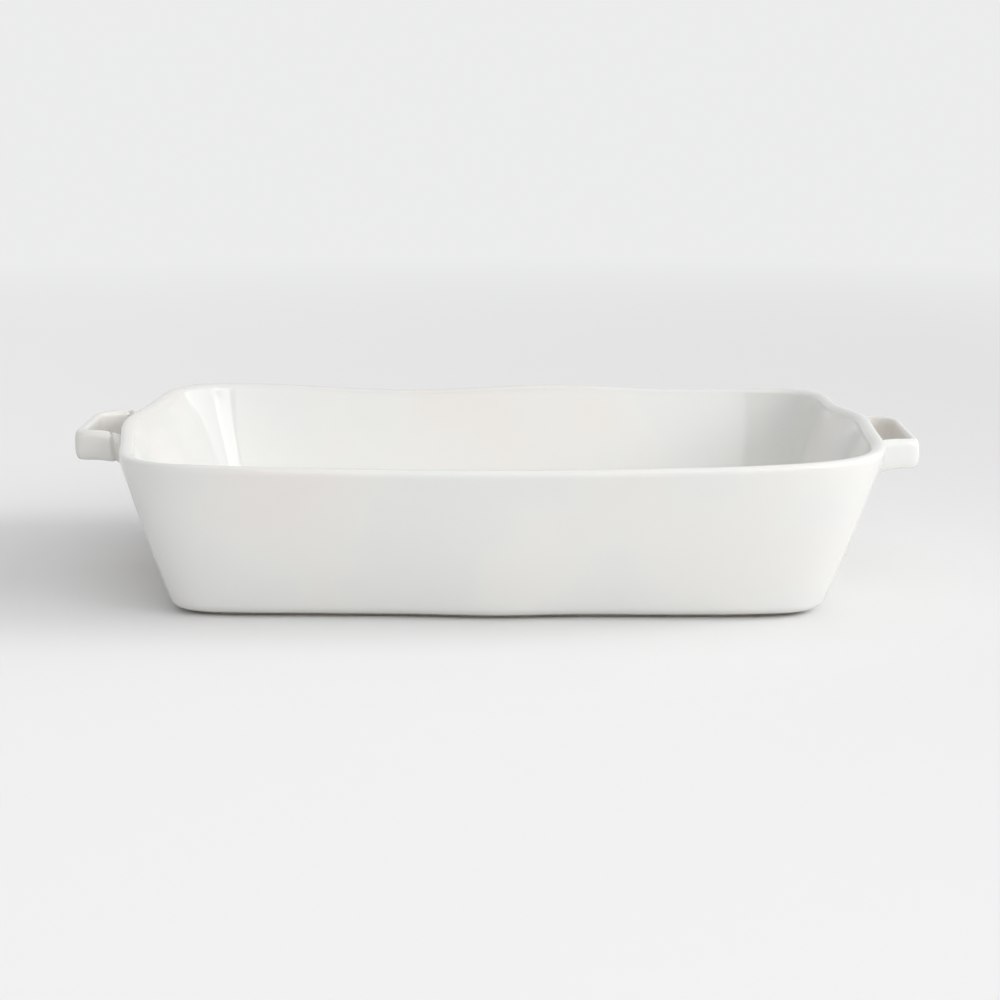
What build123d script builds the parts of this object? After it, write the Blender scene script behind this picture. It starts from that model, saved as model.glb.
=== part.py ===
from build123d import *
import os
from math import atan, cos, degrees, exp, hypot, pi, sin

# Lasagna dish in glazed stoneware, hand built: a floor slab, a coved wall with a soft lip,
# a foot ring under it, and a strap handle on each short side, luted on over two clay pads.
# Millimetres. +X runs along the length to the right handle, +Y to the back, +Z up.
# The origin is under the middle of the dish, on the table.

# Wall, as its outer face would measure without the hand-made waves. A lip lean of 1 is a
# half-round lip, and more puts its crest nearer the outside, so that it slopes inwards.
rim_length = 376.0
rim_depth = 252.0
rim_height = 77.5
rim_offset = 2.0
foot_length = 313.0
foot_depth = 214.0
wall = 6.6
lip_lean = 1.5
bottom_edge_radius = 4.5

# Floor slab, let into the cove at the bottom of the wall
floor_thickness = 7.0
cove_radius = 15.0
cove_ledge = 3.5

# Foot ring, left bare of glaze
foot_height = 1.6
foot_inset = 6.0
foot_width = 8.0

# Strap handles: the reach is past the rim, the width is along Y. The side of a strap grows
# deeper towards the root, which is let into the wall.
left_handle_reach = 23.0
right_handle_reach = 24.5
handle_width = 64.0
strap_thickness = 5.2
strap_height = 15.0
root_depth = 3.0
left_root_height = 15.6
right_root_height = 18.0

# Front and back end of each strap: height of its top edge, radius of its corner in plan, how
# square that corner is outside, and how far its root drops and splays off its leg's line
left_front_end = (77.0, 7.0, 6.0, 3.0, 0.0)
left_back_end = (78.0, 16.0, 2.0, 0.5, 6.0)
right_front_end = (72.6, 7.0, 6.0, 3.0, 0.0)
right_back_end = (74.6, 13.0, 2.0, 3.0, 4.0)

# Luting pads, one under each end of each strap
pad_width = 13.0
pad_height = 17.0
left_pad_thickness = 7.0
right_pad_thickness = 3.0
pad_drop = 2.0

# How square each outline is: 2 is an ellipse, and a large number a sharp rectangle
rim_squareness = 6.0
foot_squareness = 12.0
strap_squareness = 4.0
pad_squareness = 3.0

# Waves left by the hands. Each row is one wave: where it is and how far it reaches, in degrees
# of turn from +X towards the back, and its share of the size named above the table.
rim_rise = 4.0
rim_rise_shares = (
    (0, 14, 0.62),
    (38, 12, 0.12),
    (60, 9, -0.62),
    (80, 10, 0.12),
    (106, 13, -0.75),
    (138, 12, 0.75),
    (184, 14, 0.38),
    (212, 12, -0.38),
    (270, 26, -0.75),
    (330, 12, 0.62),
)
rim_swell = 7.0
rim_swell_shares = (
    (0, 10, 0.21),
    (22, 12, -0.86),
    (180, 14, 0.64),
    (213, 12, -0.64),
    (333, 12, -0.43),
)
foot_swell = 2.8
foot_swell_shares = (
    (235, 12, -0.64),
    (270, 8, 1.0),
    (305, 12, 0.43),
)

# Points round each outline, and how much closer together they stand in its corners
outline_points = 72
strap_outline_points = 20
corner_crowding_share = 0.55

# Levels of the wall's outlines: round its edges, and between them outside and inside
quarter_turn_shares = (0.0, 0.33, 0.67, 1.0)
half_turn_shares = (0.0, 0.25, 0.5, 0.75, 1.0)
outer_level_shares = (0.16, 0.36, 0.58, 0.8)
inner_level_shares = (0.84, 0.64, 0.44)

# Steps from the root of a strap to the middle of its loop
half_loop_steps = 9

# Outlines of a pad, from the wall out: how proud of the wall, as a share of the pad's
# thickness outside it and of the root's depth inside it, and how large there
pad_level_shares = ((-0.7, 1.0), (0.0, 1.0), (0.55, 0.97), (0.85, 0.88), (1.0, 0.72))

wall_rise = rim_height - foot_height
lip_radius = wall / 2
loop_half_width = (handle_width - strap_thickness) / 2


def wave(turn, rows):
    """Sum of the shares that a table of waves gives at one turn."""
    total = 0.0
    for centre, reach, share in rows:
        away = (degrees(turn) - centre + 180) % 360 - 180
        total += share * exp(-0.5 * (away / reach) ** 2)
    return total


def rounded_rectangle(turn, half_length, half_width, squareness):
    """Point of a rounded rectangle in its own plane, and the direction outwards there."""
    c = cos(turn)
    s = sin(turn)
    grow = (abs(c) ** squareness + abs(s) ** squareness) ** (-1 / squareness)
    out_along = abs(c) ** (squareness - 1) / half_length * (1 if c > 0 else -1)
    out_across = abs(s) ** (squareness - 1) / half_width * (1 if s > 0 else -1)
    norm = hypot(out_along, out_across)
    return half_length * c * grow, half_width * s * grow, out_along / norm, out_across / norm


def turns(count):
    """Turns round an outline, closer together in its four corners."""
    crowding = corner_crowding_share / 4
    return [2 * pi * i / count + crowding * sin(8 * pi * i / count) for i in range(count)]


def closed_wire(points):
    return Wire([Edge.make_spline([Vector(*point) for point in points], periodic=True)])


def wall_point(turn, level, inset, lift=0):
    """Point of the dish: level 0 is the foot and 1 the rim, inset goes in from the outer face."""
    half_length = (foot_length + (rim_length - foot_length) * level) / 2 - inset
    half_depth = (foot_depth + (rim_depth - foot_depth) * level) / 2 - inset
    squareness = foot_squareness + (rim_squareness - foot_squareness) * level
    x, y, out_x, out_y = rounded_rectangle(turn, half_length, half_depth, squareness)
    swell = rim_swell * wave(turn, rim_swell_shares) * level
    swell += foot_swell * wave(turn, foot_swell_shares) * (1 - level)
    rise = rim_rise * wave(turn, rim_rise_shares) * level ** 2
    return (
        x + out_x * swell + rim_offset * level,
        y + out_y * swell,
        foot_height + wall_rise * level + rise + lift,
    )


def wall_wire(level, inset, lift=0):
    return closed_wire([wall_point(turn, level, inset, lift) for turn in turns(outline_points)])


def floor_wire(inset, z):
    """Level outline of the foot, drawn in from its outer face, at one height."""
    ring = [wall_point(turn, 0, inset) for turn in turns(outline_points)]
    return closed_wire([(x, y, z) for x, y, _ in ring])


def make_shell():
    """Wall and floor in one: up the outside, over the lip, down the inside and its cove."""
    wires = []
    for share in quarter_turn_shares:
        a = share * pi / 2
        level = bottom_edge_radius * (1 - cos(a)) / wall_rise
        wires.append(wall_wire(level, bottom_edge_radius * (1 - sin(a))))
    wires += [wall_wire(level, 0) for level in outer_level_shares]
    for share in half_turn_shares:
        a = share * pi
        inset = wall * ((1 - cos(a)) / 2) ** lip_lean
        wires.append(wall_wire(1, inset, lip_radius * (sin(a) - 1)))
    wires += [wall_wire(level, wall) for level in inner_level_shares]
    for share in quarter_turn_shares:
        a = share * pi / 2
        height = floor_thickness + cove_radius * (1 - sin(a))
        level = height * (1 - share) / wall_rise
        wires.append(wall_wire(level, wall + cove_radius * (1 - cos(a)), height * share))
    return Solid.make_loft(wires)


def make_floor_slab():
    """The slab that fills the middle of the floor."""
    edge = floor_wire(wall + cove_radius + cove_ledge, foot_height)
    return Solid.extrude(Face(edge), Vector(0, 0, floor_thickness))


def make_foot_ring():
    """Low ring of bare clay that the dish stands on."""
    rise = Vector(0, 0, foot_height)
    outer = Solid.extrude(Face(floor_wire(foot_inset, 0)), rise)
    inner = Solid.extrude(Face(floor_wire(foot_inset + foot_width, 0)), rise)
    return outer - inner


def end_wall_x(side, y, z):
    """Where the outer face of a short wall stands: side is -1 at the left and 1 at the right."""
    turn = atan(y / (rim_depth / 2))
    level = (z - foot_height) / wall_rise
    return wall_point(turn if side > 0 else pi - turn, level, 0)[0]


def end_wall_slopes(side, y, z):
    """Slopes of a short wall where a pad sits: against height, and against depth."""
    up = pad_height / 2
    back = pad_width / 2
    rise = end_wall_x(side, y, z + up) - end_wall_x(side, y, z - up)
    run = end_wall_x(side, y + back, z) - end_wall_x(side, y - back, z)
    return rise / pad_height, run / pad_width


def strap_place(distance, root_x, loop_reach, corner_radius, corner_squareness):
    """Half of a loop in plan: x, y, heading, half thickness and root share at a distance."""
    half = strap_thickness / 2
    leg = loop_reach - corner_radius - root_x
    bend = corner_radius * pi / 2
    if distance < leg:
        return root_x + distance, -loop_half_width, 0, half, 1 - distance / leg
    if distance > leg + bend:
        y = -loop_half_width + corner_radius + distance - leg - bend
        return loop_reach, y, pi / 2, half, 0
    a = (distance - leg) / corner_radius
    outside = corner_radius + half
    inside = corner_radius - half
    outside *= hypot(*rounded_rectangle(a, 1, 1, corner_squareness)[:2])
    middle = (outside + inside) / 2
    x = loop_reach - corner_radius + middle * sin(a)
    y = -loop_half_width + corner_radius - middle * cos(a)
    return x, y, a, (outside - inside) / 2, 0


def strap_section(side, x_mid, y_mid, heading, half, top, height, lean):
    """Cross-section of a strap: flat faces and soft edges, upright but for its lean at a root."""
    points = []
    for turn in turns(strap_outline_points):
        across, up, _, _ = rounded_rectangle(turn, half, height / 2, strap_squareness)
        x = x_mid + across * sin(heading) + lean * up
        points.append((side * x, y_mid - across * cos(heading), top - height / 2 + up))
    return closed_wire(points)


def root_place(end, strap_end, root_height):
    """Depth and height of the middle of a root: end is -1 at the front and 1 at the back."""
    top, _, _, drop, splay = strap_end
    return end * (loop_half_width + splay), top - drop - root_height / 2


def make_strap(side, reach, root_height, front_end, back_end):
    """One strap bent into a loop, its ends let into the short wall."""
    loop_reach = rim_length / 2 + reach - strap_thickness / 2
    middle_top = (front_end[0] + back_end[0]) / 2
    tilt = (back_end[0] - front_end[0]) / 2 / loop_half_width
    wires = []
    for end, strap_end in ((-1, front_end), (1, back_end)):
        _, corner_radius, corner_squareness, drop, splay = strap_end
        y_root, z_root = root_place(end, strap_end, root_height)
        lean = side * end_wall_slopes(side, y_root, z_root)[0]
        root_x = side * end_wall_x(side, y_root, z_root) - root_depth
        half_loop = loop_reach - root_x + loop_half_width - corner_radius * (2 - pi / 2)
        half_wires = []
        for i in range(half_loop_steps + (1 if end < 0 else 0)):
            distance = half_loop * i / half_loop_steps
            x, y, heading, half, share = strap_place(
                distance, root_x, loop_reach, corner_radius, corner_squareness
            )
            y = -end * y + end * splay * share ** 2
            top = middle_top + tilt * max(-loop_half_width, min(loop_half_width, y))
            height = strap_height + (root_height - strap_height) * share
            heading = heading if end < 0 else pi - heading
            section = strap_section(
                side, x, y, heading, half, top - drop * share ** 2, height, lean * share
            )
            half_wires.append(section)
        wires += half_wires if end < 0 else half_wires[::-1]
    return Solid.make_loft(wires)


def make_pad(side, end, strap_end, root_height, thickness):
    """Cushion of clay pressed on the short wall, under one end of a strap."""
    y_mid, z_mid = root_place(end, strap_end, root_height)
    z_mid -= pad_drop
    x_mid = end_wall_x(side, y_mid, z_mid)
    lean, slope = end_wall_slopes(side, y_mid, z_mid)
    wires = []
    for level, size in pad_level_shares:
        proud = level * (thickness if level > 0 else root_depth)
        points = []
        for turn in turns(strap_outline_points):
            back, up, _, _ = rounded_rectangle(
                turn, size * pad_width / 2, size * pad_height / 2, pad_squareness
            )
            x = x_mid + side * proud + lean * up + slope * back
            points.append((x, y_mid + back, z_mid + up))
        wires.append(closed_wire(points))
    return Solid.make_loft(wires)


floor_slab = make_floor_slab()
wall_band = make_shell() - floor_slab
nodes = {"wall_band": wall_band, "floor_slab": floor_slab, "foot_ring": make_foot_ring()}

handles = (
    ("left", -1, left_handle_reach, left_root_height, left_pad_thickness,
     left_front_end, left_back_end),
    ("right", 1, right_handle_reach, right_root_height, right_pad_thickness,
     right_front_end, right_back_end),
)
for name, side, reach, root_height, pad_thickness, front_end, back_end in handles:
    strap = make_strap(side, reach, root_height, front_end, back_end) - wall_band
    for where, end, strap_end in (("front", -1, front_end), ("back", 1, back_end)):
        pad = make_pad(side, end, strap_end, root_height, pad_thickness) - wall_band
        strap = strap - pad
        nodes[name + "_" + where + "_pad"] = pad
    nodes[name + "_handle_strap"] = strap

os.makedirs("parts", exist_ok=True)
for name, solid in nodes.items():
    export_step(solid, "parts/" + name + ".step")
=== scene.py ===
from math import cos, exp, pi, radians, sin

import bpy
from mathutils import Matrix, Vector


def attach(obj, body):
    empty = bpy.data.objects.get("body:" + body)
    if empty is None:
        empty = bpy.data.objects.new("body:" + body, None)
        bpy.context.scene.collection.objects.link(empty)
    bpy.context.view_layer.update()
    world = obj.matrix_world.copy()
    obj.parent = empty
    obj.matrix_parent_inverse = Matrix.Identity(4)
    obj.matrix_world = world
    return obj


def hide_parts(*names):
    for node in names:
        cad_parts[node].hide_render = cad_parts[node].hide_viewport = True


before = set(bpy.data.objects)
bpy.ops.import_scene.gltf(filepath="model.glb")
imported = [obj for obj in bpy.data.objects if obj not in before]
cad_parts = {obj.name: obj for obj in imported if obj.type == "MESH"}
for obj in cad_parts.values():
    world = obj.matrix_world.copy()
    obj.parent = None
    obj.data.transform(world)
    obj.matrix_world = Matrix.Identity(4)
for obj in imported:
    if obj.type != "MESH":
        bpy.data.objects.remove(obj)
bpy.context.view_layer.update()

# The camera. It looks across the table at one long side of the dish, from about 250 mm up and
# a metre away, so that the far half of the rim and the inside of the back wall show.

camera_place = (0.002, -1.016, 0.2456)
camera_tilt = 78.3
lens = 72.0
sensor = 36.0

camera = bpy.data.objects.new("camera", bpy.data.cameras.new("camera"))
camera.data.lens = lens
camera.data.sensor_width = sensor
camera.location = camera_place
camera.rotation_euler = (radians(camera_tilt), 0, 0)
bpy.context.scene.collection.objects.link(camera)
bpy.context.scene.camera = camera
bpy.context.scene.view_settings.view_transform = "Standard"

# The table and the studio. The dish stands on a matt white table that fades into a pale room.
# Softboxes light it from the right, from in front and from overhead. A lamp far to the right
# lights the table alone, and draws the soft shadow on the left of the dish.

table_half_width = 9.0

# The table's colour is painted whiter on its left and greyer on its right, as painted light and
# shade that evens out the lamps on its right. It fades from one to the other over this far on each
# side of its middle. Between far start and far end it turns into the room, and a curve under 1 is
# fast at first.
table_left_painted_light = (0.86, 0.86, 0.86, 1)
table_right_painted_shade = (0.58, 0.58, 0.58, 1)
table_fade_half = 0.45
table_far_start = 0.25
table_far_end = 1.9
table_far_curve = 0.6

# The room looks pale, and lights the dish at a level that drops to the right and to the front.
room_pale = (0.835, 0.84, 0.84, 1)
room_level = 0.38
room_right = -0.163
room_front = -0.217

# Place, width and height, and strength of each lamp.
panel_place = (1.90, 0.10, 0.90)
panel_size = (3.0, 1.4)
panel_watts = 22.2
key_place = (1.0, -0.85, 0.62)
key_size = (0.7, 0.7)
key_watts = 5.8
front_place = (0.3, -2.2, 1.25)
front_size = (2.2, 1.7)
front_watts = 18.7
overhead_place = (0.0, 0.0, 2.4)
overhead_size = (2.6, 2.6)
overhead_watts = 14.4
shadow_lamp_place = (3.6, 0.0, 1.75)
shadow_lamp_size = (1.7, 1.7)
shadow_lamp_watts = 82.5


class Field:
    """A value in a node tree. Arithmetic on fields adds the tree's Math nodes."""

    def __init__(self, tree, socket):
        self.tree = tree
        self.socket = socket

    def math(self, operation, *others):
        node = self.tree.nodes.new("ShaderNodeMath")
        node.operation = operation
        for port, value in zip(node.inputs, (self, *others)):
            if isinstance(value, Field):
                self.tree.links.new(value.socket, port)
            else:
                port.default_value = value
        return Field(self.tree, node.outputs[0])

    def between(self, low, high):
        """0 below low, 1 above high, and straight in between."""
        node = self.tree.nodes.new("ShaderNodeMapRange")
        self.tree.links.new(self.socket, node.inputs["Value"])
        node.inputs["From Min"].default_value = low
        node.inputs["From Max"].default_value = high
        return Field(self.tree, node.outputs[0])

    def __add__(self, other):
        return self.math("ADD", other)

    def __sub__(self, other):
        return self.math("SUBTRACT", other)

    def __mul__(self, other):
        return self.math("MULTIPLY", other)

    def __truediv__(self, other):
        return self.math("DIVIDE", other)

    def __pow__(self, other):
        return self.math("POWER", other)

    def __neg__(self):
        return self * -1

    def __rsub__(self, other):
        return -self + other

    __radd__ = __add__
    __rmul__ = __mul__


def split_vector(tree, socket):
    """The three parts of a vector, as fields."""
    node = tree.nodes.new("ShaderNodeSeparateXYZ")
    tree.links.new(socket, node.inputs[0])
    return [Field(tree, output) for output in node.outputs]


def mix_colours(tree, share, first, second):
    """Colour between two colours or colour sockets, by a field."""
    node = tree.nodes.new("ShaderNodeMix")
    node.data_type = "RGBA"
    tree.links.new(share.socket, node.inputs["Factor"])
    for port, colour in ((node.inputs[6], first), (node.inputs[7], second)):
        if isinstance(colour, tuple):
            port.default_value = colour
        else:
            tree.links.new(colour, port)
    return node.outputs[2]


def seen_directly(tree):
    """1 for rays from the camera and for mirror and glass rays, else 0."""
    path = tree.nodes.new("ShaderNodeLightPath")
    return (Field(tree, path.outputs["Is Camera Ray"])
            .math("MAXIMUM", Field(tree, path.outputs["Is Glossy Ray"]))
            .math("MAXIMUM", Field(tree, path.outputs["Is Transmission Ray"])))


table_mesh = bpy.data.meshes.new("table")
w = table_half_width
table_mesh.from_pydata([(-w, -w, 0), (w, -w, 0), (w, w, 0), (-w, w, 0)], [], [(0, 1, 2, 3)])
table = bpy.data.objects.new("table", table_mesh)
bpy.context.scene.collection.objects.link(table)

matt = bpy.data.materials.new("matt_table")
matt.use_nodes = True
tree = matt.node_tree
tree.nodes.clear()
place = tree.nodes.new("ShaderNodeTexCoord").outputs["Object"]
x, y, z = split_vector(tree, place)
far = (x * x + y * y).math("SQRT").between(table_far_start, table_far_end) ** table_far_curve
lit = tree.nodes.new("ShaderNodeBsdfDiffuse")
# Painted light on the table's left and painted shade on its right, against the lamps.
tree.links.new(mix_colours(tree, x.between(-table_fade_half, table_fade_half),
                           table_left_painted_light, table_right_painted_shade), lit.inputs["Color"])
glow = tree.nodes.new("ShaderNodeEmission")
glow.inputs["Color"].default_value = room_pale
mix = tree.nodes.new("ShaderNodeMixShader")
tree.links.new((far * seen_directly(tree)).socket, mix.inputs[0])
tree.links.new(lit.outputs[0], mix.inputs[1])
tree.links.new(glow.outputs[0], mix.inputs[2])
out = tree.nodes.new("ShaderNodeOutputMaterial")
tree.links.new(mix.outputs[0], out.inputs["Surface"])
table_mesh.materials.append(matt)

room = bpy.data.worlds.new("room")
bpy.context.scene.world = room
room.use_nodes = True
tree = room.node_tree
tree.nodes.clear()
x, y, z = split_vector(tree, tree.nodes.new("ShaderNodeTexCoord").outputs["Generated"])
level = room_level + x * room_right - y * room_front
grey = tree.nodes.new("ShaderNodeCombineXYZ")
for port in grey.inputs:
    tree.links.new(level.socket, port)
shown = mix_colours(tree, seen_directly(tree), grey.outputs[0], room_pale)
background = tree.nodes.new("ShaderNodeBackground")
tree.links.new(shown, background.inputs["Color"])
out = tree.nodes.new("ShaderNodeOutputWorld")
tree.links.new(background.outputs[0], out.inputs["Surface"])


def hang_lamp(name, place, size, watts):
    """A lamp with a flat front, wide and high as given, that faces the middle of the dish."""
    lamp = bpy.data.lights.new(name, "AREA")
    lamp.shape = "RECTANGLE"
    lamp.size, lamp.size_y = size
    lamp.energy = watts
    holder = bpy.data.objects.new(name, lamp)
    holder.location = place
    holder.rotation_euler = Vector(place).to_track_quat("Z", "Y").to_euler()
    holder.visible_camera = False
    bpy.context.scene.collection.objects.link(holder)
    return holder


hang_lamp("panel", panel_place, panel_size, panel_watts)
hang_lamp("key", key_place, key_size, key_watts)
hang_lamp("front", front_place, front_size, front_watts)
hang_lamp("overhead", overhead_place, overhead_size, overhead_watts)
shadow_lamp = hang_lamp("shadow_lamp", shadow_lamp_place, shadow_lamp_size, shadow_lamp_watts)
table_alone = bpy.data.collections.new("table_alone")
table_alone.objects.link(table)
shadow_lamp.light_linking.receiver_collection = table_alone

# The dish itself: a slab floor and a wall luted round it, pressed by hand over a form, so its
# corners and rim wander by a few millimetres. Stoneware under a thick glossy white glaze.

dish_sizes = {
    "Rim length": 0.376,
    "Rim depth": 0.252,
    "Rim height": 0.0775,
    "Rim offset": 0.002,
    "Foot length": 0.313,
    "Foot depth": 0.214,
    "Foot height": 0.0016,
    "Wall": 0.0066,
    "Lip lean": 1.5,
    "Bottom edge radius": 0.0045,
    "Floor thickness": 0.007,
    "Cove radius": 0.015,
    "Rim squareness": 6.0,
    "Foot squareness": 12.0,
    "Rim rise": 0.004,
    "Rim swell": 0.007,
    "Foot swell": 0.0028,
    "Finger marks": 0.0005,
    "Finger mark spacing": 0.05,
}
finger_mark_seed = 7.0
finger_mark_detail = 1.0

# The lip's crest, not its start, reaches the rim's height, so a wall sinks by the lip's radius
# on its way up. A higher lateness leaves that to the last rows below the lip.
lip_lateness = 6

# Points that lie closer than this are one.
seam_gap = 0.00001

# Waves left by the hands: where each is and how far it reaches, in degrees of turn from the
# right-hand end towards the back, and its share of the size in the list above.
rim_rise_shares = (
    (0, 14, 0.62), (38, 12, 0.12), (60, 9, -0.62), (80, 10, 0.12), (106, 13, -0.75),
    (138, 12, 0.75), (184, 14, 0.38), (212, 12, -0.38), (270, 26, -0.75), (330, 12, 0.62),
)
rim_swell_shares = (
    (0, 10, 0.21), (22, 12, -0.86), (180, 14, 0.64), (213, 12, -0.64), (333, 12, -0.43),
)
foot_swell_shares = ((235, 12, -0.64), (270, 8, 1.0), (305, 12, 0.43))

# Faces round the dish, how much closer together they stand in its corners, and rows of faces
# from the middle of the underside, up the outside and down the inside, to the middle again.
faces_round = 320
corner_crowding_share = 0.55
underside_rows = 8
bottom_edge_rows = 8
outer_wall_rows = 44
lip_rows = 16
inner_wall_rows = 36
cove_rows = 14
floor_rows = 24


def new_shape_tree(name, sizes):
    """A Geometry Nodes tree with a named input for each size, and those inputs as fields."""
    tree = bpy.data.node_groups.new(name, "GeometryNodeTree")
    for size in sizes:
        tree.interface.new_socket(size, in_out="INPUT", socket_type="NodeSocketFloat")
    tree.interface.new_socket("Mesh", in_out="OUTPUT", socket_type="NodeSocketGeometry")
    entry = tree.nodes.new("NodeGroupInput")
    return tree, {size: Field(tree, entry.outputs[size]) for size in sizes}


def grid_of_faces(tree, across, along):
    """A flat grid of faces, and how far each point is across and along it, from 0 to 1."""
    grid = tree.nodes.new("GeometryNodeMeshGrid")
    grid.inputs["Vertices X"].default_value = across + 1
    grid.inputs["Vertices Y"].default_value = along + 1
    x, y, z = split_vector(tree, tree.nodes.new("GeometryNodeInputPosition").outputs[0])
    return grid.outputs["Mesh"], x + 0.5, y + 0.5


def move_points(tree, mesh, x, y, z):
    """Puts the points of a mesh at a place given by three fields."""
    place = tree.nodes.new("ShaderNodeCombineXYZ")
    for port, value in zip(place.inputs, (x, y, z)):
        tree.links.new(value.socket, port)
    move = tree.nodes.new("GeometryNodeSetPosition")
    tree.links.new(mesh, move.inputs["Geometry"])
    tree.links.new(place.outputs[0], move.inputs["Position"])
    return move.outputs[0]


def close_seams(tree, mesh):
    """Merges the points that meet, at the seam and at the poles."""
    merge = tree.nodes.new("GeometryNodeMergeByDistance")
    merge.inputs["Distance"].default_value = seam_gap
    tree.links.new(mesh, merge.inputs["Geometry"])
    return merge.outputs[0]


def press_points(tree, mesh, depth, spacing, seed):
    """Pushes a surface in and out a little, as fingers leave it."""
    noise = tree.nodes.new("ShaderNodeTexNoise")
    noise.noise_dimensions = "4D"
    noise.inputs["W"].default_value = seed
    noise.inputs["Detail"].default_value = finger_mark_detail
    tree.links.new((spacing ** -1).socket, noise.inputs["Scale"])
    push = (Field(tree, noise.outputs[0]) - 0.5) * depth
    scale = tree.nodes.new("ShaderNodeVectorMath")
    scale.operation = "SCALE"
    tree.links.new(tree.nodes.new("GeometryNodeInputNormal").outputs[0], scale.inputs[0])
    tree.links.new(push.socket, scale.inputs["Scale"])
    move = tree.nodes.new("GeometryNodeSetPosition")
    tree.links.new(mesh, move.inputs["Geometry"])
    tree.links.new(scale.outputs[0], move.inputs["Offset"])
    return move.outputs[0]


def finish_tree(tree, mesh, material):
    """Makes the mesh real and smooth, and gives it its material."""
    smooth = tree.nodes.new("GeometryNodeSetShadeSmooth")
    real = tree.nodes.new("GeometryNodeRealizeInstances")
    paint = tree.nodes.new("GeometryNodeSetMaterial")
    paint.inputs["Material"].default_value = material
    tree.links.new(mesh, smooth.inputs[0])
    tree.links.new(smooth.outputs[0], real.inputs[0])
    tree.links.new(real.outputs[0], paint.inputs["Geometry"])
    tree.links.new(paint.outputs[0], tree.nodes.new("NodeGroupOutput").inputs[0])


def make_piece(name, tree, sizes):
    """Runs a shape tree at its sizes, and keeps the result as a plain mesh in its place."""
    piece = bpy.data.objects.new(name, bpy.data.meshes.new(name))
    bpy.context.scene.collection.objects.link(piece)
    shape = piece.modifiers.new("shape", "NODES")
    shape.node_group = tree
    for socket in tree.interface.items_tree:
        if socket.in_out == "INPUT":
            shape[socket.identifier] = sizes[socket.name]
    shown = piece.evaluated_get(bpy.context.evaluated_depsgraph_get())
    mesh = bpy.data.meshes.new_from_object(shown)
    piece.modifiers.remove(shape)
    piece.data = mesh
    return piece


def rounded_rectangle(turn, half_length, half_width, squareness):
    """Point of a rounded rectangle, and the direction outwards there, all as fields."""
    c = turn.math("COSINE")
    s = turn.math("SINE")
    c_size = c.math("ABSOLUTE")
    s_size = s.math("ABSOLUTE")
    grow = (c_size ** squareness + s_size ** squareness) ** (-1 * squareness ** -1)
    out_along = c_size ** (squareness - 1) / half_length * c.math("SIGN")
    out_across = s_size ** (squareness - 1) / half_width * s.math("SIGN")
    norm = (out_along * out_along + out_across * out_across).math("SQRT")
    return half_length * c * grow, half_width * s * grow, out_along / norm, out_across / norm


def wave(turn, rows):
    """Sum of the shares that a list of waves gives at a turn."""
    total = turn * 0
    for centre, reach, share in rows:
        away = (turn * (180 / pi) - centre).math("WRAP", 180, -180) / reach
        total = total + (away * away * -0.5).math("EXPONENT") * share
    return total


def turn_round(share):
    """Turn from a share of the way round, closer together in the four corners."""
    return share * (2 * pi) + (share * (8 * pi)).math("SINE") * (corner_crowding_share / 4)


def dish_outline(size, turn, level, inset):
    """Outline of the dish: level 0 is the foot and 1 the rim, inset goes in from the outside."""
    half_length = (size["Foot length"] + (size["Rim length"] - size["Foot length"]) * level) / 2
    half_depth = (size["Foot depth"] + (size["Rim depth"] - size["Foot depth"]) * level) / 2
    squareness = (size["Foot squareness"]
                  + (size["Rim squareness"] - size["Foot squareness"]) * level)
    x, y, out_x, out_y = rounded_rectangle(
        turn, half_length - inset, half_depth - inset, squareness)
    swell = (size["Rim swell"] * wave(turn, rim_swell_shares) * level
             + size["Foot swell"] * wave(turn, foot_swell_shares) * (1 - level))
    return x + out_x * swell + size["Rim offset"] * level, y + out_y * swell


# White glaze: warm white, fired to a gloss, with a faint drift of colour in it. Where a point's
# share is over 0 the colour turns towards clay showing through: thinned glaze with painted dark
# lines on the left strap's edges, painted shade with some thinned glaze in its crease, and painted
# shade alone on its front face and inside the right loop.
glaze_white = (0.80, 0.79, 0.765, 1)
glaze_cool = (0.775, 0.785, 0.765, 1)
glaze_warm = (0.80, 0.775, 0.745, 1)
glaze_thin_and_shade = (0.55, 0.50, 0.45, 1)
glaze_roughness = 0.10
glaze_drift_scale = 14.0
glaze_drift_detail = 2.0
glaze_cool_to_white = (0.42, 0.62)
glaze_white_to_warm = (0.50, 0.75)
glaze_ripple_scale = 90.0
glaze_ripple_detail = 1.0
glaze_ripple_strength = 0.4
glaze_ripple_height = 0.0002

glaze = bpy.data.materials.new("white_glaze")
glaze.use_nodes = True
tree = glaze.node_tree
shader = tree.nodes["Principled BSDF"]
place = tree.nodes.new("ShaderNodeTexCoord").outputs["Object"]
drift = tree.nodes.new("ShaderNodeTexNoise")
drift.inputs["Scale"].default_value = glaze_drift_scale
drift.inputs["Detail"].default_value = glaze_drift_detail
tree.links.new(place, drift.inputs["Vector"])
drift_share = Field(tree, drift.outputs[0])
tint = mix_colours(tree, drift_share.between(*glaze_cool_to_white), glaze_cool, glaze_white)
tint = mix_colours(tree, drift_share.between(*glaze_white_to_warm), tint, glaze_warm)
# This share darkens the glaze: partly thinned glaze, partly painted shade and painted dark edge
# lines.
thin_and_shade = tree.nodes.new("ShaderNodeAttribute")
thin_and_shade.attribute_name = "thin_and_shade"
tint = mix_colours(tree, Field(tree, thin_and_shade.outputs["Fac"]), tint, glaze_thin_and_shade)
tree.links.new(tint, shader.inputs["Base Color"])
shader.inputs["Roughness"].default_value = glaze_roughness
ripple = tree.nodes.new("ShaderNodeTexNoise")
ripple.inputs["Scale"].default_value = glaze_ripple_scale
ripple.inputs["Detail"].default_value = glaze_ripple_detail
tree.links.new(place, ripple.inputs["Vector"])
bump = tree.nodes.new("ShaderNodeBump")
bump.inputs["Strength"].default_value = glaze_ripple_strength
bump.inputs["Distance"].default_value = glaze_ripple_height
tree.links.new(ripple.outputs[0], bump.inputs["Height"])
tree.links.new(bump.outputs[0], shader.inputs["Normal"])

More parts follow.
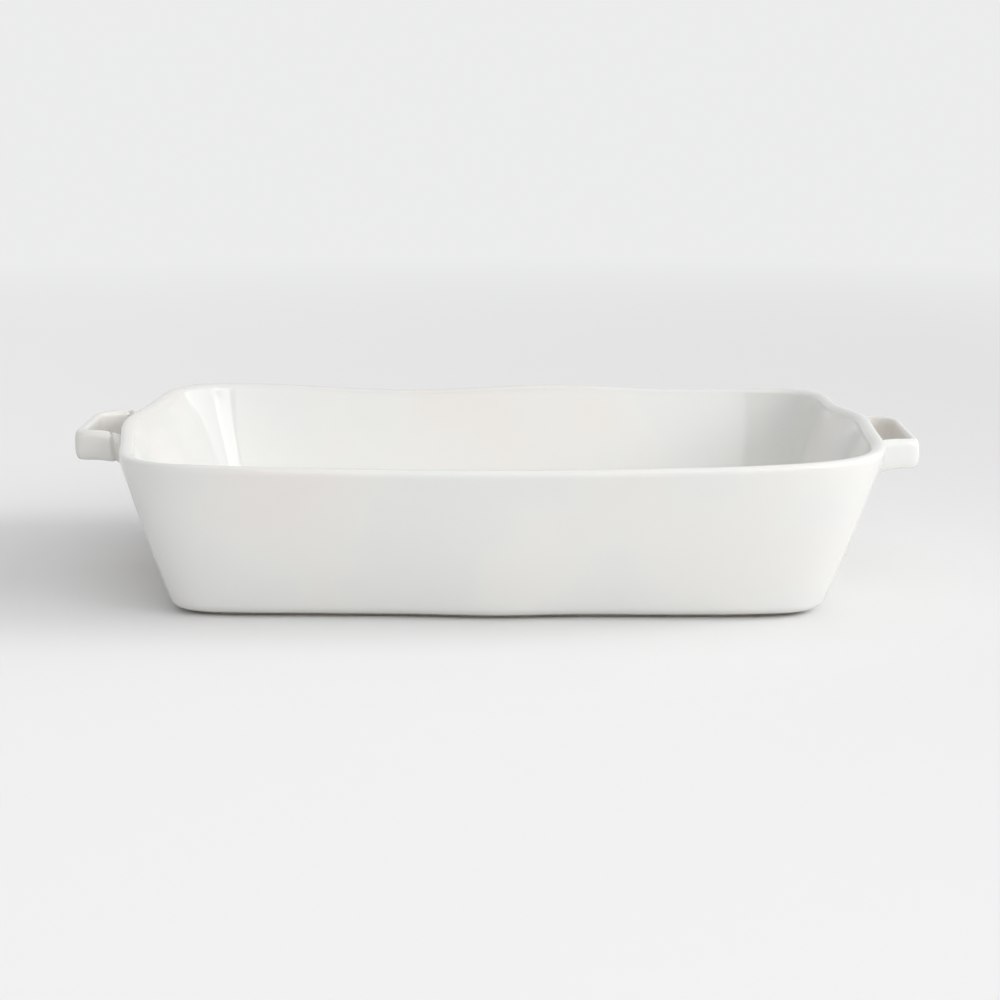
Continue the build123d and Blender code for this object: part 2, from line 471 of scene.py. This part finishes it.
# The dish's shape. Each stretch of rows runs from 0 to 1 on its own, and stays at 1 after it.
tree, size = new_shape_tree("dish_shape", dish_sizes)
rows_in_all = (underside_rows + bottom_edge_rows + outer_wall_rows + lip_rows
               + inner_wall_rows + cove_rows + floor_rows)
mesh, round_share, row_share = grid_of_faces(tree, faces_round, rows_in_all)
row = row_share * rows_in_all
turn = turn_round(round_share)
progress = []
first_row = 0
for count in (underside_rows, bottom_edge_rows, outer_wall_rows, lip_rows, inner_wall_rows,
              cove_rows, floor_rows):
    progress.append(row.between(first_row, first_row + count))
    first_row += count
underside, bottom_edge, outer_wall, lip, inner_wall, cove, floor = progress

# Inset is how far in from the outline a row lies, level its place from foot to rim, and lift
# what the lip and the cove do to its height.
wall_rise = size["Rim height"] - size["Foot height"]
lip_radius = size["Wall"] / 2
edge_turn = bottom_edge * (pi / 2)
lip_turn = lip * pi
cove_turn = cove * (pi / 2)
cove_top = size["Floor thickness"] + size["Cove radius"]
inner_height = size["Floor thickness"] + size["Cove radius"] * (1 - cove_turn.math("SINE"))
inset = (size["Bottom edge radius"] * (1 - edge_turn.math("SINE"))
         + size["Wall"] * ((1 - lip_turn.math("COSINE")) * 0.5) ** size["Lip lean"]
         + size["Cove radius"] * (1 - cove_turn.math("COSINE")))
edge_level = size["Bottom edge radius"] / wall_rise
level = edge_level * (1 - edge_turn.math("COSINE")) + outer_wall * (1 - edge_level)
level = level - inner_wall * (1 - cove_top / wall_rise)
level = level * (1 - cove) * (inner_height / cove_top)
lift = lip_radius * (lip_turn.math("SINE") - outer_wall ** lip_lateness
                     + 1 - (1 - inner_wall) ** lip_lateness)
lift = lift + inner_height * cove
middle_share = underside * (1 - floor)
x, y = dish_outline(size, turn, level, inset)
rise = size["Rim rise"] * wave(turn, rim_rise_shares) * level * level
z = size["Foot height"] + wall_rise * level + rise + lift
mesh = move_points(tree, mesh, x * middle_share, y * middle_share, z)
mesh = close_seams(tree, mesh)
mesh = press_points(tree, mesh, size["Finger marks"] * level, size["Finger mark spacing"],
                    finger_mark_seed)
finish_tree(tree, mesh, glaze)
dish = make_piece("dish_body", tree, dish_sizes)
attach(dish, "root")
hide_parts("wall_band", "floor_slab")

# The foot ring: a low ridge under the floor that keeps the glaze off the kiln shelf. Its clay is
# wiped clean before the firing, so it is bare: buff, matt and a little gritty.

ring_sizes = {
    **{name: dish_sizes[name] for name in (
        "Rim length", "Rim depth", "Rim swell", "Rim squareness", "Rim offset",
        "Foot length", "Foot depth", "Foot swell", "Foot squareness")},
    "Ring height": 0.0018,
    "Ring inset": 0.006,
    "Ring width": 0.008,
}
ring_rows = 16

# 1 would make the section an ellipse, and 0 a box.
ring_edge_roundness = 0.25
clay_pale = (0.50, 0.43, 0.35, 1)
clay_dark = (0.36, 0.30, 0.235, 1)
clay_roughness = 0.85
clay_patch_scale = 60.0
clay_patch_share = 0.6
clay_dark_to_pale = (0.35, 0.65)
clay_grit_scale = 900.0
clay_grit_height = 0.0002

clay = bpy.data.materials.new("bare_stoneware")
clay.use_nodes = True
tree = clay.node_tree
shader = tree.nodes["Principled BSDF"]
shader.inputs["Roughness"].default_value = clay_roughness
place = tree.nodes.new("ShaderNodeTexCoord").outputs["Object"]
patches = tree.nodes.new("ShaderNodeTexNoise")
patches.inputs["Scale"].default_value = clay_patch_scale
tree.links.new(place, patches.inputs["Vector"])
grit = tree.nodes.new("ShaderNodeTexNoise")
grit.inputs["Scale"].default_value = clay_grit_scale
tree.links.new(place, grit.inputs["Vector"])
mottle = (Field(tree, patches.outputs[0]) * clay_patch_share
          + Field(tree, grit.outputs[0]) * (1 - clay_patch_share))
tree.links.new(mix_colours(tree, mottle.between(*clay_dark_to_pale), clay_dark, clay_pale),
               shader.inputs["Base Color"])
bump = tree.nodes.new("ShaderNodeBump")
bump.inputs["Distance"].default_value = clay_grit_height
tree.links.new(grit.outputs[0], bump.inputs["Height"])
tree.links.new(bump.outputs[0], shader.inputs["Normal"])

# The ring's shape, a rounded box swept round the foot. Its rows start and end in a corner of
# the box, where the section is smooth, so that the seam closes.
tree, size = new_shape_tree("ring_shape", ring_sizes)
mesh, round_share, row_share = grid_of_faces(tree, faces_round, ring_rows)
section_turn = row_share * (-2 * pi) + pi / 4
section_along = section_turn.math("COSINE")
section_up = section_turn.math("SINE")
section_width = (section_along.math("ABSOLUTE") ** ring_edge_roundness
                 * section_along.math("SIGN") * 0.5)
section_height = (section_up.math("ABSOLUTE") ** ring_edge_roundness
                  * section_up.math("SIGN") * 0.5 + 0.5)
x, y = dish_outline(size, turn_round(round_share), row_share * 0,
                    size["Ring inset"] + size["Ring width"] * (section_width + 0.5))
mesh = move_points(tree, mesh, x, y, size["Ring height"] * section_height)
mesh = close_seams(tree, mesh)
finish_tree(tree, mesh, clay)
ring = make_piece("foot_rim", tree, ring_sizes)
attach(ring, "root")
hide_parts("foot_ring")

# The luting pads: four cushions of soft clay pressed on the short walls, one under each end of
# each strap. The left pair stand proud like collars, the right pair are smoothed into the wall.

pad_width = 0.013
pad_height = 0.017
pad_squareness = 3.0
left_pad_thickness = 0.0070
right_pad_thickness = 0.0030
pad_depth_in_wall = 0.002
pad_drop = 0.002

# How round a proud pad is at its edge and over its face, and how much less its top stands out.
pad_edge_roundness = 0.45
pad_face_roundness = 0.8
pad_top_setback_share = 0.35

# A pad's rings grow smaller towards the middle of its face, and the last one is capped.
pad_rings = 20
pad_points_round = 64
pad_last_ring_share = 0.02

# Above this height a short wall turns into the lip, and roots and pads follow it straight up.
wall_top_for_roots = 0.0738

# The straps that the pads carry. Each end of a strap: height of its top edge, radius of its
# corner in plan, how square that corner is outside, and how far its root drops and splays.
handle_width = 0.064
strap_thickness = 0.0052
strap_height = 0.015
left_root_height = 0.0156
right_root_height = 0.018
left_front_end = (0.0770, 0.007, 6.0, 0.003, 0.0)
left_back_end = (0.0780, 0.016, 2.0, 0.0005, 0.006)
right_front_end = (0.0726, 0.007, 6.0, 0.003, 0.0)
right_back_end = (0.0746, 0.013, 2.0, 0.003, 0.004)
loop_half_width = (handle_width - strap_thickness) / 2


def root_place(end, strap_end, root_height):
    """Depth and height of the middle of a root: end is -1 at the front and 1 at the back."""
    top, _, _, drop, splay = strap_end
    return end * (loop_half_width + splay), top - drop - root_height / 2


def wall_reach(side, y, z):
    """How far out the outer face of a short wall stands, at one depth and height."""
    start = Vector((side, y, min(z, wall_top_for_roots)))
    _, place, _, _ = dish.ray_cast(start, Vector((-side, 0, 0)))
    return side * place.x


def round_corner(turn, half_width, half_height, squareness):
    """Point of a rounded rectangle, as numbers."""
    c = cos(turn)
    s = sin(turn)
    grow = (abs(c) ** squareness + abs(s) ** squareness) ** (-1 / squareness)
    return half_width * c * grow, half_height * s * grow


def skin_rings(name, rings, thin_and_shade_shares, turned):
    """A closed mesh through rings of points, with a cap on each end, and its shares of thinned glaze
    and painted shade.
    """
    points = [place for ring in rings for place in ring]
    count = len(rings[0])
    faces = [tuple(range(count))[::-1], tuple(range(len(points) - count, len(points)))]
    for first in range(0, len(points) - count, count):
        for i in range(count):
            j = (i + 1) % count
            faces.append((first + i, first + j, first + count + j, first + count + i))
    if turned:
        faces = [face[::-1] for face in faces]
    mesh = bpy.data.meshes.new(name)
    mesh.from_pydata(points, [], faces)
    mesh.shade_smooth()
    mesh.materials.append(glaze)
    mesh.attributes.new("thin_and_shade", "FLOAT", "POINT").data.foreach_set(
        "value", [share for ring in thin_and_shade_shares for share in ring])
    piece = bpy.data.objects.new(name, mesh)
    bpy.context.scene.collection.objects.link(piece)
    return piece


def press_pad(name, side, place, thickness, soft):
    """A cushion on a short wall: soft 0 has a full round edge, and 1 fades into the wall."""
    y_middle, z_middle = place
    rings = []
    for i in range(pad_rings + 1):
        a = i / pad_rings * pi / 2
        full_size, full_proud = cos(a) ** pad_edge_roundness, sin(a) ** pad_face_roundness
        soft_size, soft_proud = 1 - i / pad_rings, sin(a) ** 2
        size = max(full_size + (soft_size - full_size) * soft, pad_last_ring_share)
        proud = (full_proud + (soft_proud - full_proud) * soft) * thickness
        ring = []
        for j in range(pad_points_round):
            back, up = round_corner(2 * pi * j / pad_points_round, size * pad_width / 2,
                                    size * pad_height / 2, pad_squareness)
            y = y_middle + back
            z = z_middle - pad_drop + up
            upright = 1 - pad_top_setback_share * (1 - soft) * up / (pad_height / 2)
            ring.append((side * (wall_reach(side, y, z) + proud * upright), y, z))
        rings.append(ring)
    rings.insert(0, [(x - side * pad_depth_in_wall, y, z) for x, y, z in rings[0]])
    pad = skin_rings(name, rings, [[0.0] * pad_points_round] * len(rings), side < 0)
    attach(pad, "root")
    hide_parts(name)


press_pad("left_front_pad", -1, root_place(-1, left_front_end, left_root_height),
          left_pad_thickness, 0)
press_pad("left_back_pad", -1, root_place(1, left_back_end, left_root_height),
          left_pad_thickness, 0)
press_pad("right_front_pad", 1, root_place(-1, right_front_end, right_root_height),
          right_pad_thickness, 1)
press_pad("right_back_pad", 1, root_place(1, right_back_end, right_root_height),
          right_pad_thickness, 1)

# The handles: a flat strap of clay bent into a loop on each short side and luted on at both
# ends. The left one ends in a crease at its pads, the right one is smoothed into the wall.

left_handle_reach = 0.023
right_handle_reach = 0.0245
root_sink = 0.002

# How square a strap's section is along its top and bottom edge, and at the top of a creased root.
left_squareness = (3.5, 3.0)
right_squareness = (2.6, 2.6)
root_top_squareness = 2.0

# Fillets where the straps meet the wall, and how much of one rises above the strap's top edge.
left_flare = 0.001
right_flare = 0.006
flare_above_share = 0.3

# The crease, by its distance from the wall. The top edge grows rounder on its way to it.
crease_distance = 0.0080
crease_depth = 0.0008
crease_half_width = 0.0010
crease_round_over = 0.006

# How dark the left strap's edges, front face and crease, and the inside of the right loop are
# painted: thinned glaze with painted dark reflection lines on the edges, painted shade with some
# thinned glaze in the crease, and painted shade alone on the front face and inside the loop.
# A higher falloff keeps it closer to the edges.
left_edge_thin_and_painted_line = 0.35
left_edge_falloff = 6
left_front_painted_shade = 0.18
left_crease_painted_shade_and_thin = 0.5
right_inside_painted_shade = 0.65

# Rows of points stand closer together towards the roots, and points towards a section's corners.
# The row in the middle of a loop belongs to its front half.
half_loop_rows = 80
row_crowding = 1.5
strap_points_round = 96
point_crowding = 0.14


def strap_place(distance, root_x, loop_reach, corner_radius, corner_squareness):
    """Half of a loop in plan: x, y, heading, half thickness and root share at a distance."""
    half = strap_thickness / 2
    leg = loop_reach - corner_radius - root_x
    bend = corner_radius * pi / 2
    if distance < leg:
        return root_x + distance, -loop_half_width, 0, half, 1 - distance / leg
    if distance > leg + bend:
        y = -loop_half_width + corner_radius + distance - leg - bend
        return loop_reach, y, pi / 2, half, 0
    a = (distance - leg) / corner_radius
    outside = Vector(round_corner(a, 1, 1, corner_squareness)).length * (corner_radius + half)
    inside = corner_radius - half
    middle = (outside + inside) / 2
    x = loop_reach - corner_radius + middle * sin(a)
    y = -loop_half_width + corner_radius - middle * cos(a)
    return x, y, a, (outside - inside) / 2, 0


def strap_section(half, height, spread, top_squareness, bottom_squareness):
    """Points round a strap: how far each is across its thickness and up its height."""
    points = []
    for j in range(strap_points_round):
        turn = 2 * pi * j / strap_points_round
        turn -= point_crowding * sin(4 * turn)
        squareness = top_squareness if turn < pi else bottom_squareness
        across, up = round_corner(turn, half + spread, height / 2 + spread, squareness)
        if up > height / 2:
            up = height / 2 + (up - height / 2) * flare_above_share
        points.append((across, up))
    return points


def thin_and_shade_share(across, up, near_crease, end, creased):
    """Share of dark clay colour at a point of a strap, whose faces and edges are at -1 and 1:
    thinned glaze and painted shade.
    """
    if not creased:
        # Painted shade on the inside of the right loop, which faces away from the lamps.
        return max(0, -across) * right_inside_painted_shade
    on_edge = abs(across * up) ** left_edge_falloff
    # Painted shade on the front face of the left strap, which the lamps on the right light less.
    on_front = max(0, across) * (end < 0)
    return (max(on_edge * left_edge_thin_and_painted_line, near_crease * left_crease_painted_shade_and_thin)
            + on_front * left_front_painted_shade)


def bend_strap(name, side, reach, root_height, ends, flare, edge_squareness, creased):
    """A strap from its front root to its back root, bent in two halves that meet in the middle."""
    top_edge, bottom_edge = edge_squareness
    loop_reach = dish_sizes["Rim length"] / 2 + reach - strap_thickness / 2
    middle_top = (ends[0][0] + ends[1][0]) / 2
    tilt = (ends[1][0] - ends[0][0]) / 2 / loop_half_width
    rings = []
    thin_and_shade_shares = []
    for end, strap_end in zip((-1, 1), ends):
        _, corner_radius, corner_squareness, drop, splay = strap_end
        root_x = wall_reach(side, *root_place(end, strap_end, root_height))
        half_loop = loop_reach - root_x + loop_half_width - corner_radius * (2 - pi / 2)
        half_rings = []
        half_thin_and_shade = []
        for i in range(half_loop_rows + (end < 0)):
            distance = half_loop * (i / half_loop_rows) ** row_crowding
            x_mid, y_mid, heading, half, share = strap_place(
                distance, root_x, loop_reach, corner_radius, corner_squareness)
            y_mid -= splay * share ** 2
            height = strap_height + (root_height - strap_height) * share
            top = middle_top + tilt * max(-loop_half_width, min(loop_half_width, -end * y_mid))
            z_mid = top - drop * share ** 2 - height / 2
            spread = flare - (flare ** 2 - max(0, flare - distance) ** 2) ** 0.5
            top_squareness = top_edge
            near_crease = 0
            if creased:
                near_crease = exp(-((distance - crease_distance) / crease_half_width) ** 2)
                near_root = exp(-(max(0, distance - crease_distance) / crease_round_over) ** 2)
                spread -= crease_depth * near_crease
                top_squareness += near_root * (root_top_squareness - top_edge)
            ring = []
            thin_and_shade = []
            for across, up in strap_section(half, height, spread, top_squareness, bottom_edge):
                x = x_mid + across * sin(heading)
                y = -end * (y_mid - across * cos(heading))
                z = z_mid + up
                if share:
                    x += (wall_reach(side, y, z) - root_x) * share ** 2
                ring.append((side * x, y, z))
                thin_and_shade.append(thin_and_shade_share(across / half, up / (height / 2), near_crease, end, creased))
            half_rings.append(ring)
            half_thin_and_shade.append(thin_and_shade)
        half_rings.insert(0, [(x - side * root_sink, y, z) for x, y, z in half_rings[0]])
        half_thin_and_shade.insert(0, half_thin_and_shade[0])
        rings += half_rings if end < 0 else half_rings[::-1]
        thin_and_shade_shares += half_thin_and_shade if end < 0 else half_thin_and_shade[::-1]
    strap = skin_rings(name, rings, thin_and_shade_shares, side > 0)
    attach(strap, "root")
    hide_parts(name)


bend_strap("left_handle_strap", -1, left_handle_reach, left_root_height,
           (left_front_end, left_back_end), left_flare, left_squareness, True)
bend_strap("right_handle_strap", 1, right_handle_reach, right_root_height,
           (right_front_end, right_back_end), right_flare, right_squareness, False)
